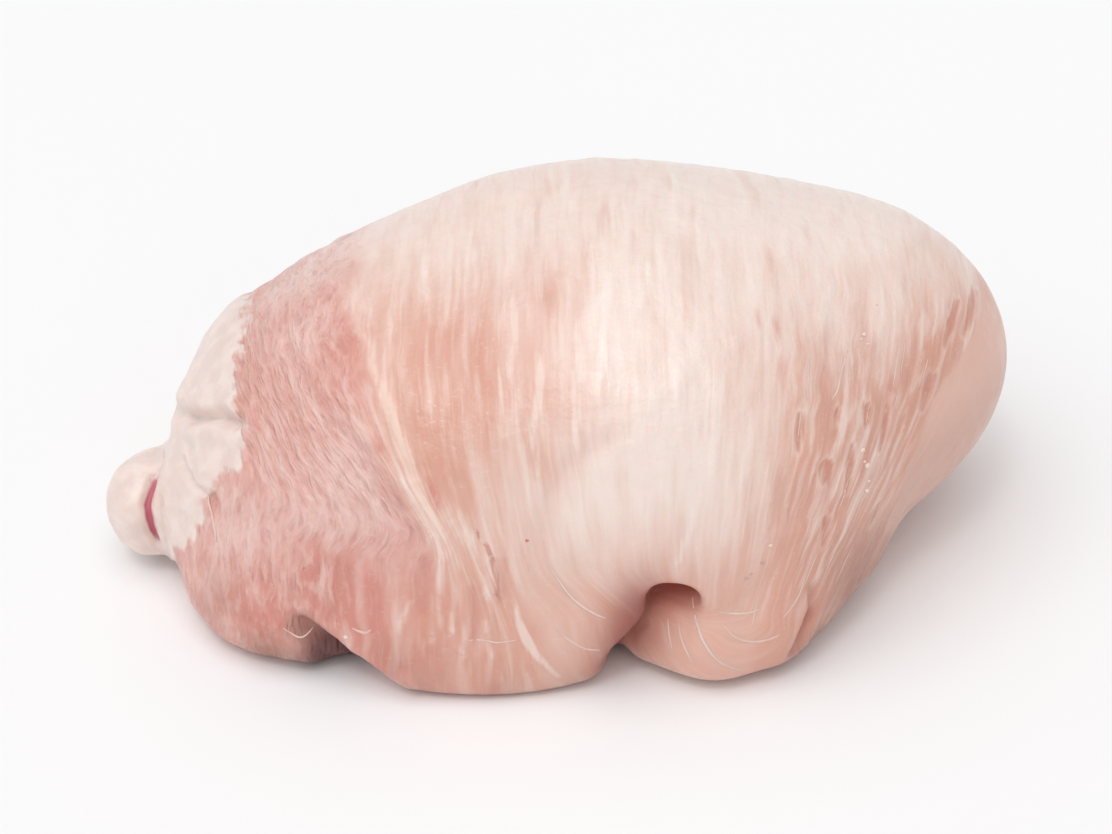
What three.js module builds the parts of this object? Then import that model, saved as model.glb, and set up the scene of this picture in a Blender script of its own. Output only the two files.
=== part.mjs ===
// A whole raw pork stomach lying on its underside: one closed bag of muscle with a folded front,
// a fat collar and a short cut outlet at its left end. Millimetres, +Z up, the front faces -Y.
import * as THREE from "three";

// Where the middle of the outline lies in the frame that the sizes below are written in.
const MIDDLE_X = 1.2;
const MIDDLE_Y = 8.62;

// The swellings that make up the bag. Each has a centre, half sizes along its own axes, a turn about
// the vertical and a lean about its own first axis, both in degrees.
const FUNDUS = { centre: [42, 16, 47], half: [80, 68, 57], turn: 12, lean: 0 };
const SHOULDER = { centre: [85, 30, 50], half: [46, 38, 36], turn: 0, lean: 0 };
const CORPUS = { centre: [-2, 13, 46], half: [72, 76, 58], turn: 0, lean: 0 };
const ANTRUM = { centre: [-60, 10, 36], half: [45, 52, 45], turn: 0, lean: 0 };
const CHEEK = { centre: [-62, -28, 22], half: [28, 36, 18], turn: -12, lean: 56 };
const JOWL = { centre: [-72, -15, 19], half: [28, 34, 16.5], turn: -36, lean: 52 };
const APRON = { centre: [-19, -44, 27], half: [42, 48, 19], turn: 0, lean: 56 };
const LOBE = { centre: [38, -36, 42], half: [41, 44, 22], turn: 0, lean: 63 };
const REAR = { centre: [69, -15, 18], half: [22, 28, 18], turn: 35, lean: 0 };
const HEEL = { centre: [-76, -38, 11], half: [29, 21, 13], turn: -35, lean: 0 };
const COLLAR_TOP = { centre: [-87, 13, 48], half: [15, 22, 17], turn: 0, lean: 0 };
const COLLAR_LOW = { centre: [-99, -8, 21], half: [19, 18, 21], turn: -20, lean: 0 };
const OUTLET_NECK = { centre: [-106, 7, 14], half: [18, 18, 12], turn: -20, lean: 0 };
const OUTLET_STUB = { centre: [-118, -5, 18], half: [13, 16, 14], turn: -10, lean: 0 };

// The rolled fold that comes out from under the front arch, as a chain of [x, y, z, radius].
const ROLL = [
  [22, -42, 10, 11],
  [32, -50, 11, 13.5],
  [44, -55, 11.5, 14.5],
  [54, -51, 13, 14.5],
  [59, -42, 16, 15],
  [60, -34, 20, 16],
];

// The hollows, as chains of [x, y, z, radius]: the arch over the roll, the nick between the heel and
// the apron, and the short crease behind the roll.
const ARCH_TOP = [[28.5, -92, 31.5, 4.4], [29.5, -46, 31, 4.4]];
const ARCH_SIDE = [[29, -92, 20, 8.5], [33, -46, 20, 8.5]];
const ARCH_CROWN = [[34.5, -92, 30, 4.8], [35, -46, 29, 4.8]];
const ARCH_FOOT = [[23, -92, 4, 14.5], [32, -47, 8.5, 13.5]];
const ARCH_LIP = [[35, -92, 22, 6], [42.5, -74, 19.5, 6], [56, -76, 19.5, 3]];
const HEEL_NICK = [[-49, -76, -1, 6], [-56, -64, 5, 6], [-63, -61, 11, 5], [-71, -62, 16, 4]];
const SIDE_CREASE = [[80, -62, 2, 4], [78, -59, 8, 4], [77, -57, 14, 2]];

// The shallow valley that runs down the front between the antrum and the lobe.
const VALLEY = [[-14, 10, 104, 0], [-14, -30, 80, 0], [-6, -52, 58, 0], [2, -66, 40, 0]];
const VALLEY_DEPTH = 3;
const VALLEY_WIDTH = 16;

// How widely neighbouring swellings run into each other.
const BODY_BLEND = 30;
const SHOULDER_BLEND = 26;
const FRONT_BLEND = 24;
const CHEEK_BLEND = 34;
const REAR_BLEND = 14;
const COLLAR_TOP_BLEND = 14;
const COLLAR_LOW_BLEND = 10;
const NECK_BLEND = 12;
const STUB_BLEND = 3;
const CHAIN_BLEND = 6;
const ROLL_LINKS_BLEND = 8;
const VALLEY_LINKS_BLEND = 10;
const HOLLOW_BLEND = 4;
const FLOOR_BLEND = 9;

// The roll lies loose on its left, and runs into the wall on its right and deep under the arch. The heel
// lies loose at the nick.
const ROLL_BLEND = { loose: 2.5, joined: 16, from: 46, to: 66, deepFrom: -58, deepTo: -42 };
const HEEL_BLEND = { loose: 5, joined: 17, from: 6, to: 34 };
const HEEL_LOOSE_AT = [-62, -60, 12];

// The box that is searched for the surface, and the cell sizes there: small over the folds at the
// front, the foot and the left end, larger over the plain back and crown.
const SEARCH_FROM = [-140, -90, -7];
const SEARCH_TO = [138, 98, 112];
const FINE_CELL = 3.7;
const PLAIN_CELL = 7.6;
const FRONT_ENDS_Y = -36;
const FOOT_ENDS_Z = 34;
const LEFT_END_X = -84;
const FOLD_X = [8, 74];
const CELL_CHANGE = 30;

// How far and how often a corner of the mesh is moved to lie on the surface and to even out the net.
const PROBE = 0.02;
const LARGEST_MOVE = 2;
const SETTLE_ROUNDS = 3;
const EVEN_ROUNDS = 3;
const FLAT_TOLERANCE = 0.02;
const TINY = 1e-9;

const FLESH = { color: 0xe6bcae, roughness: 0.45, metalness: 0 };

const clamp01 = (t) => Math.min(1, Math.max(0, t));

// Rises smoothly from 0 to 1 while value goes from start to end.
function ramp(value, start, end) {
  const t = clamp01((value - start) / (end - start));
  return t * t * (3 - 2 * t);
}

// The smaller of two distances, rounded over the width blend where they are nearly alike.
function join(a, b, blend) {
  const near = Math.max(blend - Math.abs(a - b), 0) / blend;
  return Math.min(a, b) - near * near * blend * 0.25;
}

// What is left of the solid a once the solid b is taken out of it.
const cut = (a, b, blend) => -join(-a, b, blend);

// The distance to a swelling, as a function of a point.
function swelling({ centre, half, turn, lean }) {
  const turnCos = Math.cos(THREE.MathUtils.degToRad(turn));
  const turnSin = Math.sin(THREE.MathUtils.degToRad(turn));
  const leanCos = Math.cos(THREE.MathUtils.degToRad(lean));
  const leanSin = Math.sin(THREE.MathUtils.degToRad(lean));
  return (x, y, z) => {
    const dx = x - centre[0];
    const dy = y - centre[1];
    const dz = z - centre[2];
    const along = dx * turnCos + dy * turnSin;
    const level = dy * turnCos - dx * turnSin;
    const up = (level * leanCos + dz * leanSin) / half[1];
    const out = (dz * leanCos - level * leanSin) / half[2];
    const side = along / half[0];
    const reach = Math.hypot(side, up, out);
    const steepness = Math.hypot(side / half[0], up / half[1], out / half[2]);
    return steepness < TINY ? -Math.min(...half) : (reach * (reach - 1)) / steepness;
  };
}

// The distance to a chain of round links, as a function of a point.
function chain(points, blend = CHAIN_BLEND) {
  const links = points.slice(1).map((end, i) => [points[i], end]);
  return (x, y, z) => {
    let nearest = Infinity;
    for (const [start, end] of links) {
      const run = [end[0] - start[0], end[1] - start[1], end[2] - start[2]];
      const to = [x - start[0], y - start[1], z - start[2]];
      const length2 = run[0] ** 2 + run[1] ** 2 + run[2] ** 2;
      const t = clamp01((to[0] * run[0] + to[1] * run[1] + to[2] * run[2]) / length2);
      const gap = Math.hypot(to[0] - t * run[0], to[1] - t * run[1], to[2] - t * run[2]);
      const distance = gap - start[3] - (end[3] - start[3]) * t;
      nearest = nearest === Infinity ? distance : join(nearest, distance, blend);
    }
    return nearest;
  };
}

const fundus = swelling(FUNDUS);
const shoulder = swelling(SHOULDER);
const corpus = swelling(CORPUS);
const antrum = swelling(ANTRUM);
const cheek = swelling(CHEEK);
const jowl = swelling(JOWL);
const apron = swelling(APRON);
const lobe = swelling(LOBE);
const rear = swelling(REAR);
const heel = swelling(HEEL);
const collarTop = swelling(COLLAR_TOP);
const collarLow = swelling(COLLAR_LOW);
const outletNeck = swelling(OUTLET_NECK);
const outletStub = swelling(OUTLET_STUB);
const roll = chain(ROLL, ROLL_LINKS_BLEND);
const archTop = chain(ARCH_TOP);
const archSide = chain(ARCH_SIDE);
const archCrown = chain(ARCH_CROWN);
const archFoot = chain(ARCH_FOOT);
const archLip = chain(ARCH_LIP);
const heelNick = chain(HEEL_NICK);
const sideCrease = chain(SIDE_CREASE);
const valley = chain(VALLEY, VALLEY_LINKS_BLEND);

// The rounded bag with its soft valley, before any fold.
function bag(x, y, z) {
  let d = join(fundus(x, y, z), corpus(x, y, z), BODY_BLEND);
  d = join(d, shoulder(x, y, z), SHOULDER_BLEND);
  d = join(d, antrum(x, y, z), BODY_BLEND);
  d = join(d, lobe(x, y, z), FRONT_BLEND);
  d = join(d, apron(x, y, z), FRONT_BLEND);
  d = join(d, rear(x, y, z), REAR_BLEND);
  d = join(d, join(cheek(x, y, z), jowl(x, y, z), CHEEK_BLEND), CHEEK_BLEND);
  const fromValley = Math.max(0, valley(x, y, z)) / VALLEY_WIDTH;
  return d + VALLEY_DEPTH * Math.exp(-fromValley * fromValley);
}

// The hollow under the front arch.
function arch(x, y, z) {
  let d = join(archTop(x, y, z), archCrown(x, y, z), CHAIN_BLEND);
  d = join(d, archSide(x, y, z), CHAIN_BLEND);
  d = join(d, archFoot(x, y, z), CHAIN_BLEND);
  return join(d, archLip(x, y, z), CHAIN_BLEND);
}

// The whole piece: below zero inside, above zero outside.
function stomach(x, y, z) {
  let d = cut(bag(x, y, z), arch(x, y, z), HOLLOW_BLEND);
  const deepRoll = ramp(y, ROLL_BLEND.deepFrom, ROLL_BLEND.deepTo);
  const joinedRoll = Math.max(deepRoll, ramp(x, ROLL_BLEND.from, ROLL_BLEND.to));
  d = join(d, roll(x, y, z), THREE.MathUtils.lerp(ROLL_BLEND.loose, ROLL_BLEND.joined, joinedRoll));
  d = cut(d, sideCrease(x, y, z), HOLLOW_BLEND);
  d = cut(d, heelNick(x, y, z), HOLLOW_BLEND);
  const fromNick = Math.hypot(x - HEEL_LOOSE_AT[0], y - HEEL_LOOSE_AT[1], z - HEEL_LOOSE_AT[2]);
  const joinedHeel = ramp(fromNick, HEEL_BLEND.from, HEEL_BLEND.to);
  d = join(d, heel(x, y, z), THREE.MathUtils.lerp(HEEL_BLEND.loose, HEEL_BLEND.joined, joinedHeel));
  d = join(d, collarTop(x, y, z), COLLAR_TOP_BLEND);
  d = join(d, collarLow(x, y, z), COLLAR_LOW_BLEND);
  d = join(d, outletNeck(x, y, z), NECK_BLEND);
  d = join(d, outletStub(x, y, z), STUB_BLEND);
  return cut(d, z, FLOOR_BLEND);
}

// The cell size at a place along an axis, from how far that place lies outside the fine stretches.
function cellSize(distance) {
  return THREE.MathUtils.lerp(FINE_CELL, PLAIN_CELL, ramp(distance, 0, CELL_CHANGE));
}

const cellAlong = [
  (x) => cellSize(Math.min(x - LEFT_END_X, Math.max(FOLD_X[0] - x, x - FOLD_X[1]))),
  (y) => cellSize(y - FRONT_ENDS_Y),
  (z) => cellSize(z - FOOT_ENDS_Z),
];

// The places of the grid planes along one axis.
function gridLines(axis) {
  const lines = [SEARCH_FROM[axis]];
  while (lines.at(-1) < SEARCH_TO[axis]) {
    lines.push(lines.at(-1) + cellAlong[axis](lines.at(-1)));
  }
  return lines;
}

// The slope of the field at a point, and the field itself as its w.
function slopeAt(p) {
  const here = stomach(p.x, p.y, p.z);
  return new THREE.Vector4(
    (stomach(p.x + PROBE, p.y, p.z) - here) / PROBE,
    (stomach(p.x, p.y + PROBE, p.z) - here) / PROBE,
    (stomach(p.x, p.y, p.z + PROBE) - here) / PROBE,
    here,
  );
}

// Moves a point on to the surface, along the slope.
function settle(p) {
  for (let round = 0; round < SETTLE_ROUNDS; round++) {
    const slope = slopeAt(p);
    const steep = new THREE.Vector3(slope.x, slope.y, slope.z);
    const move = steep.multiplyScalar(-slope.w / steep.lengthSq());
    p.add(move.clampLength(0, LARGEST_MOVE));
  }
  if (Math.abs(p.z) < FLAT_TOLERANCE) {
    p.z = 0;
  }
}

// One corner for each cell that the surface passes, and a four-sided face for each grid edge that it
// crosses, each as two triangles.
function netOfSurface() {
  const lines = [0, 1, 2].map(gridLines);
  const [nx, ny, nz] = lines.map((line) => line.length);
  const index = (i, j, k) => (i * ny + j) * nz + k;
  const value = new Float64Array(nx * ny * nz);
  for (let i = 0; i < nx; i++) {
    for (let j = 0; j < ny; j++) {
      for (let k = 0; k < nz; k++) {
        value[index(i, j, k)] = stomach(lines[0][i], lines[1][j], lines[2][k]);
      }
    }
  }
  const isInside = (at) => value[at] < 0;
  const step = [index(1, 0, 0), index(0, 1, 0), index(0, 0, 1)];
  const corners = [];
  const cornerOf = new Map();

  // The corner of a cell: the mean of the places where its edges cross the surface.
  function addCorner(cell) {
    const sum = new THREE.Vector3();
    let crossings = 0;
    for (let axis = 0; axis < 3; axis++) {
      const [side, other] = [(axis + 1) % 3, (axis + 2) % 3];
      for (let edge = 0; edge < 4; edge++) {
        const start = [...cell];
        start[side] += edge & 1;
        start[other] += edge >> 1;
        const at = index(...start);
        if (isInside(at) !== isInside(at + step[axis])) {
          const share = value[at] / (value[at] - value[at + step[axis]]);
          const place = start.map((line, a) => lines[a][line]);
          place[axis] += share * (lines[axis][start[axis] + 1] - place[axis]);
          sum.add(new THREE.Vector3(...place));
          crossings++;
        }
      }
    }
    if (crossings > 0) {
      cornerOf.set(index(...cell), corners.length);
      corners.push(sum.divideScalar(crossings));
    }
  }

  for (let i = 0; i + 1 < nx; i++) {
    for (let j = 0; j + 1 < ny; j++) {
      for (let k = 0; k + 1 < nz; k++) {
        addCorner([i, j, k]);
      }
    }
  }

  const faces = [];
  for (let i = 1; i + 1 < nx; i++) {
    for (let j = 1; j + 1 < ny; j++) {
      for (let k = 1; k + 1 < nz; k++) {
        const at = index(i, j, k);
        for (let axis = 0; axis < 3; axis++) {
          if (isInside(at) !== isInside(at + step[axis])) {
            const [side, other] = [step[(axis + 1) % 3], step[(axis + 2) % 3]];
            const ring = [at, at - side, at - side - other, at - other].map((c) => cornerOf.get(c));
            faces.push(isInside(at) ? ring : ring.reverse());
          }
        }
      }
    }
  }
  return { corners, faces };
}

// Evens out the net: each corner goes to the mean of the corners it shares a face with, and back on
// to the surface.
function evenOut({ corners, faces }) {
  for (let round = 0; round < EVEN_ROUNDS; round++) {
    const sums = corners.map(() => new THREE.Vector3());
    const counts = corners.map(() => 0);
    for (const face of faces) {
      for (const corner of face) {
        for (const other of face) {
          sums[corner].add(corners[other]);
          counts[corner]++;
        }
      }
    }
    corners.forEach((corner, n) => {
      corner.copy(sums[n]).divideScalar(counts[n]);
      settle(corner);
    });
  }
}

// Cuts a four-sided face along the diagonal whose middle lies nearer to the surface.
function triangles([a, b, c, d], corners) {
  const off = (from, to) => {
    const middle = corners[from].clone().add(corners[to]).multiplyScalar(0.5);
    return Math.abs(stomach(middle.x, middle.y, middle.z));
  };
  return off(a, c) <= off(b, d) ? [a, b, c, a, c, d] : [a, b, d, b, c, d];
}

function stomachGeometry() {
  const net = netOfSurface();
  net.corners.forEach(settle);
  evenOut(net);
  const geometry = new THREE.BufferGeometry().setFromPoints(net.corners);
  geometry.setIndex(net.faces.flatMap((face) => triangles(face, net.corners)));
  geometry.translate(-MIDDLE_X, -MIDDLE_Y, 0);
  geometry.computeVertexNormals();
  return geometry;
}

const part = new THREE.Group();
const porkStomach = new THREE.Mesh(stomachGeometry(), new THREE.MeshStandardMaterial(FLESH));
porkStomach.name = "pork_stomach";
part.add(porkStomach);

export default part;
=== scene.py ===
# A whole raw pork stomach on a pale floor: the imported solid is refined, given its relief and its moist,
# streaky flesh, with threads, crumbs and specks on it, and lit softly from above.
import functools
import math

import bmesh
import bpy
import numpy as np
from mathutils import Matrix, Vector, noise


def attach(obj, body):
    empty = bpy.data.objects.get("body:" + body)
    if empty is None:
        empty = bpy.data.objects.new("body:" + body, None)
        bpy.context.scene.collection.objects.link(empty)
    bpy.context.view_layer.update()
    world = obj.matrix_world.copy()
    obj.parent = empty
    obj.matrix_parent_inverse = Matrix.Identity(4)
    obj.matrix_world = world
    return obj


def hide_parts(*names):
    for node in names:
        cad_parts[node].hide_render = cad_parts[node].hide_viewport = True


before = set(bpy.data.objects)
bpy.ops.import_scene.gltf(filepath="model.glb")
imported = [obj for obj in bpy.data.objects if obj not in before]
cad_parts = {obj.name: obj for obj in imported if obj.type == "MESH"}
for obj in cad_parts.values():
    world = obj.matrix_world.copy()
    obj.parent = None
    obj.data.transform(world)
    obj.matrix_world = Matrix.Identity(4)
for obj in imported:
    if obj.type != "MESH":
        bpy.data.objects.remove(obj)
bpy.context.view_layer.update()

# The imported node that is refined, its body, and where the sizes are written out.
NODE = "pork_stomach"
BODY = "root"
METRES = 0.001

# The solid's own sizes in millimetres, as the part's source has them. MIDDLE is where the frame's
# origin lies among them.
MIDDLE = np.array([1.2, 8.62, 0])
FUNDUS = dict(centre=(42, 16, 47), half=(80, 68, 57), turn=12)
SHOULDER = dict(centre=(85, 30, 50), half=(46, 38, 36))
CORPUS = dict(centre=(-2, 13, 46), half=(72, 76, 58))
ANTRUM = dict(centre=(-60, 10, 36), half=(45, 52, 45))
CHEEK = dict(centre=(-62, -28, 22), half=(28, 36, 18), turn=-12, lean=56)
JOWL = dict(centre=(-72, -15, 19), half=(28, 34, 16.5), turn=-36, lean=52)
APRON = dict(centre=(-19, -44, 27), half=(42, 48, 19), lean=56)
LOBE = dict(centre=(38, -36, 42), half=(41, 44, 22), lean=63)
REAR = dict(centre=(69, -15, 18), half=(22, 28, 18), turn=35)
HEEL = dict(centre=(-76, -38, 11), half=(29, 21, 13), turn=-35)
COLLAR_TOP = dict(centre=(-87, 13, 48), half=(15, 22, 17))
COLLAR_LOW = dict(centre=(-99, -8, 21), half=(19, 18, 21), turn=-20)
OUTLET_NECK = dict(centre=(-106, 7, 14), half=(18, 18, 12), turn=-20)
OUTLET_STUB = dict(centre=(-118, -5, 18), half=(13, 16, 14), turn=-10)

# The roll and the hollows, as chains of (x, y, z, radius).
ROLL = [
    (22, -42, 10, 11),
    (32, -50, 11, 13.5),
    (44, -55, 11.5, 14.5),
    (54, -51, 13, 14.5),
    (59, -42, 16, 15),
    (60, -34, 20, 16),
]
ARCH_TOP = [(28.5, -92, 31.5, 4.4), (29.5, -46, 31, 4.4)]
ARCH_SIDE = [(29, -92, 20, 8.5), (33, -46, 20, 8.5)]
ARCH_CROWN = [(34.5, -92, 30, 4.8), (35, -46, 29, 4.8)]
ARCH_FOOT = [(23, -92, 4, 14.5), (32, -47, 8.5, 13.5)]
ARCH_LIP = [(35, -92, 22, 6), (42.5, -74, 19.5, 6), (56, -76, 19.5, 3)]
HEEL_NICK = [(-49, -76, -1, 6), (-56, -64, 5, 6), (-63, -61, 11, 5), (-71, -62, 16, 4)]
SIDE_CREASE = [(80, -62, 2, 4), (78, -59, 8, 4), (77, -57, 14, 2)]
VALLEY = [(-14, 10, 104, 0), (-14, -30, 80, 0), (-6, -52, 58, 0), (2, -66, 40, 0)]
VALLEY_DEPTH = 3
VALLEY_WIDTH = 16

# The forms in the order in which they are joined, and how widely each runs into those before it.
BAG_FORMS = [(CORPUS, 30), (SHOULDER, 26), (ANTRUM, 30), (LOBE, 24), (APRON, 24), (REAR, 14)]
LEFT_END_FORMS = [(COLLAR_TOP, 14), (COLLAR_LOW, 10), (OUTLET_NECK, 12), (OUTLET_STUB, 3)]
ARCH_HOLLOWS = [ARCH_CROWN, ARCH_SIDE, ARCH_FOOT, ARCH_LIP]
CHEEK_BLEND = 34
CHAIN_BLEND = 6
ROLL_LINKS_BLEND = 8
VALLEY_LINKS_BLEND = 10
HOLLOW_BLEND = 4
FLOOR_BLEND = 9
ROLL_BLEND = dict(loose=2.5, joined=16, start=46, end=66, deep_start=-58, deep_end=-42)
HEEL_BLEND = dict(loose=5, joined=17, start=6, end=34)
HEEL_LOOSE_AT = (-62, -60, 12)

# The refined mesh: cuts along each edge of the solid's net, and how it is settled and evened out.
EDGE_CUTS = 3
WELD = 1e-6
PROBE = 0.02
LARGEST_MOVE = 1.0
SETTLE_ROUNDS = 3
EVEN_ROUNDS = 4
TINY = 1e-9
OCTAVE_SHIFT = 7.7

# The lie of the fibres: they run down from the crown and close up towards the fold in front, slant on the
# antrum and stand upright low on it, and curl round the fold on the roll and on the leg beside it.
FIBRES_MEET_X = 38
FIBRES_CLOSE_BY = 0.51
LEFT_CLOSE_BY = 0.5
ANTRUM_SLANT = 8
ANTRUM_EDGE = -64
ANTRUM_MID_X = -45
UPRIGHT_BY = 0.8
ANTRUM_TO_FRONT = (-66, -42)
FOLD_CENTRE = (51.7, -65.6, 25.8)
ROLL_ACROSS = 66
LEG_ACROSS = 31
# The middle of the painted shade in the recess under the arch.
THROAT_SHADE_CENTRE = (36, -52, 24)

# Lines on the surface, as (x, y, z, half the width). Below zero, a line is fainter there.
TENDON = [
    (-66, 66, 60, 0.1),
    (-57, 24, 90, 0.3),
    (-56, -7, 89.5, 0.5),
    (-52, -21.5, 86, 0.7),
    (-48.5, -32.5, 81, 0.9),
    (-44.5, -42, 75, 1.3),
    (-40.5, -50, 67, 1.7),
    (-37.5, -54.5, 62, 1.9),
    (-35, -58, 56, 1.7),
    (-32.5, -61, 50.5, 1.1),
    (-30, -64, 44, 0.4),
]
STRIP = [
    (-11.5, -68, 32, 0.2),
    (-9.8, -70, 25, 0.8),
    (-8, -71, 20.5, 1.3),
    (-4.5, -72, 14.5, 0.8),
    (1, -72.5, 8, 0.2),
]
STROKES = [
    [(26.2, -12.1, 105.1, 0.4), (24.4, -19, 103, 1.6), (22.6, -26.2, 100.2, 0.4)],
    [(15.2, -17, 104, 0.4), (11.9, -24.7, 100.8, 1.4), (9.7, -32.8, 96.5, 0.4)],
    [(12.9, -30.4, 98.1, 0.4), (12.8, -38, 93.5, 1.2), (13.1, -44.6, 88.3, 0.4)],
    [(33.7, -39.6, 91.4, 0.4), (32.5, -45, 86.9, 1.2), (32.2, -47.9, 84.1, 0.4)],
    [(-13, -18.2, 98.4, 0.2), (-13.2, -38, 87.1, 1.0), (-13.9, -51.5, 74.2, 0.4)],
    [(-38.1, 12, 97.5, 0.4), (-36.1, -2.6, 96.7, 1.2), (-36.3, -13.6, 93.8, 0.4)],
    [(-40.7, -53.7, 61.8, 0.8), (-35.3, -58.8, 54.6, 1.0),
     (-31.9, -63.5, 44.3, 0.7), (-31.7, -66.1, 36.7, 0.2)],
    [(-38, -54.1, 62.2, 0.5), (-31.8, -60.1, 52.9, 0.9),
     (-27.3, -63.8, 44.5, 0.7), (-26, -65.4, 40, 0.2)],
    [(-29.6, -58.3, 57.6, 0.2), (-26.4, -60.3, 54.1, 0.7),
     (-23.6, -62.6, 49, 0.6), (-21.6, -64.2, 44.8, 0.2)],
    [(-27.2, -60.5, 53.5, 0.6), (-20.3, -64.8, 43.2, 2.2),
     (-18.7, -66.3, 38.2, 2.0), (-17.9, -67.8, 32.5, 0.8)],
    [(-25.1, -66.3, 37.2, 0.1), (-24.2, -68.8, 28.4, 0.4),
     (-25.3, -71.1, 19.8, 0.4), (-25.8, -73.3, 10.5, 0.1)],
    [(-19.6, -69.7, 25.6, 0.1), (-19.1, -71.2, 19.8, 0.4),
     (-17, -72.7, 13.6, 0.4), (-15.1, -73.9, 7.5, 0.1)],
    [(-31.2, -63.3, 45.1, 0.1), (-32, -66, 36.9, 0.5),
     (-32.8, -69.3, 25.3, 0.4), (-33.6, -70.9, 19.5, 0.1)],
    [(-28.3, -68.9, 27.8, 0.1), (-28.6, -70.3, 22.6, 0.3), (-29.6, -71.8, 16.7, 0.1)],
    [(-43.8, -70, 19.5, -0.4), (-42, -68.4, 26, 0), (-39.7, -67.1, 31.2, -0.2)],
]
WHITE_LINES = [
    [(5.9, -29.3, 98, 0.1), (5.6, -40.8, 90.5, 0.5), (4.8, -51.4, 80, 0.5), (5.1, -55.6, 73.8, 0.1)],
    [(13.2, -26.2, 100.2, 0.1), (12.9, -36.1, 94.8, 0.6), (12.5, -44.2, 88.6, 0.2)],
    [(32.6, -28.2, 98.6, 0.1), (31, -37.8, 93, 0.5), (30.4, -43, 89.1, 0.2)],
    [(47.4, -32.1, 93.8, 0.1), (43.3, -46.9, 82.7, 0.5),
     (42.1, -53, 75.3, 0.9), (41.1, -57.7, 67.8, 0.6)],
    [(-4, -36.8, 91.1, 0.1), (-4.8, -45.7, 83.6, 0.6),
     (-5.9, -52.6, 75, 0.6), (-4.8, -57.3, 66.2, 0.2)],
    [(37.2, -62.6, 57.8, 0.1), (35.4, -64.7, 51.3, 0.4), (32.6, -66.5, 43.6, 0.1)],
    [(85.4, -35.7, 67.3, 0.2), (83.1, -41.4, 61.3, 0.4), (80.9, -45.6, 55.9, 0.1)],
]
WINDOWS = [
    [(72.9, -48.6, 62.2, 2.4), (73.5, -49.7, 58.9, 1.6), (74.2, -50.6, 55.5, 0.4)],
    [(85.2, -33, 71.1, 1.5), (84.9, -34.6, 69.5, 1.5), (84.5, -36.2, 67.7, 1.0)],
    [(76.6, -38.4, 73.9, 1.2), (76.3, -39.7, 72.5, 1.3), (75.7, -41.2, 71.2, 0.5)],
    [(80.4, -41.8, 64.9, 0.9), (79.9, -44.6, 60.3, 1.5), (79.2, -47.7, 54, 0.7)],
    [(66.3, -43.4, 76, 0.8), (65.7, -46.4, 72.6, 1.2), (65.5, -49.1, 68.6, 0.5)],
    [(91.6, -26.7, 71.1, 0.8), (90.3, -31.5, 66.1, 1.3), (89.2, -36.4, 59.4, 0.6)],
    [(105.2, -15, 69.9, 1.6), (103.9, -18.3, 67, 1.8), (102.4, -21.8, 63.3, 0.8)],
    [(73.6, -53.2, 47.9, 1.3), (73.2, -54.2, 44.2, 1.0), (72.5, -55.2, 40.6, 0.3)],
    [(89.6, -39.1, 42.5, 1.1), (88.6, -39.9, 39.6, 1.0), (87.6, -40.8, 37.2, 0.4)],
    [(121, 18.9, 76.5, 0.8), (118.4, 9.5, 75.7, 1.8), (115.2, 0.2, 73.3, 0.8)],
    [(114.3, 8.8, 79.6, 0.8), (111.4, -0.4, 77, 1.5), (109.2, -6.6, 74.3, 0.5)],
]
SLIT = [
    (-113.9, -7, 35.7, 0.2),
    (-116.6, -11.3, 31.4, 0.5),
    (-118, -17.7, 26.4, 0.8),
    (-117.4, -19.9, 22.7, 0.8),
    (-116.6, -20.7, 17.8, 0.6),
    (-115.7, -19.8, 13.4, 0.2),
]
COLLAR_CREASE = [
    (-104, 12, 44, 0),
    (-106, 1, 46, 0),
    (-104, -9, 51, 0),
    (-100, -15, 55.5, 0),
    (-93.5, -21, 60, 0),
    (-88, -26.5, 61.5, 0),
]
LUMP_CREASE = [
    (-106.6, -17.2, 42.1, 0),
    (-101, -27.6, 40.5, 0),
    (-96.4, -33.9, 41.1, 0),
    (-94.8, -37.4, 37.7, 0),
]
ANTRUM_GROOVE = [
    (-74, -14.8, 79.8, 0),
    (-66.9, -29.5, 75.3, 0),
    (-59.3, -39.1, 71.4, 0),
    (-52, -46.3, 67.2, 0),
    (-46.2, -52.3, 61.6, 0),
    (-41.5, -57.3, 55.1, 0),
]
# The leg's edge beside the arch, along which shade is painted.
LEG_EDGE = [
    (24.5, -64, 36, -3),
    (22.5, -66, 30.7, -0.5),
    (21, -67, 25, 0),
    (20, -67, 17, 1.5),
    (17, -67, 8, 0.5),
]
SIDE_FOLD = [(67, -64, 9, 0), (69, -62.5, 15.5, 0), (70.8, -60.7, 19.7, 0)]
SIDE_FOLD_TOP = [(70.8, -60.7, 19.7, 0), (71.2, -60, 22.7, 0), (70.3, -59.3, 29.2, 0)]
LOBE_FOLD = [
    (17.3, -57.4, 80.2, 0),
    (10.6, -55.9, 74.7, 0),
    (3.7, -57.1, 70.4, 0),
    (-2.1, -59.7, 61.6, 0),
    (-4, -63, 50.4, 0),
    (-4.3, -67.3, 45.2, 0),
]
FLAKE_EDGE = [
    (-22.2, -61.7, 51.7, 0),
    (-18.9, -63.6, 47.1, 0),
    (-16.7, -65.2, 42.2, 0),
    (-16.1, -66.7, 37.1, 0),
    (-16, -67.8, 32.5, 0),
]
SALMON_STREAKS = [
    [(-22.3, -67.1, 35, 0.2), (-22, -68.9, 28.5, 0.4), (-22.5, -70.8, 21.2, 0.2)],
    [(-36, -63.7, 42.4, 0.4), (-35.8, -66, 35.6, 1.0), (-36.2, -68.2, 28.6, 0.4)],
    [(-14.6, -65.1, 42.8, 0.2), (-14.4, -66.9, 36.3, 0.4), (-14.9, -68, 32, 0.2)],
]
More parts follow.
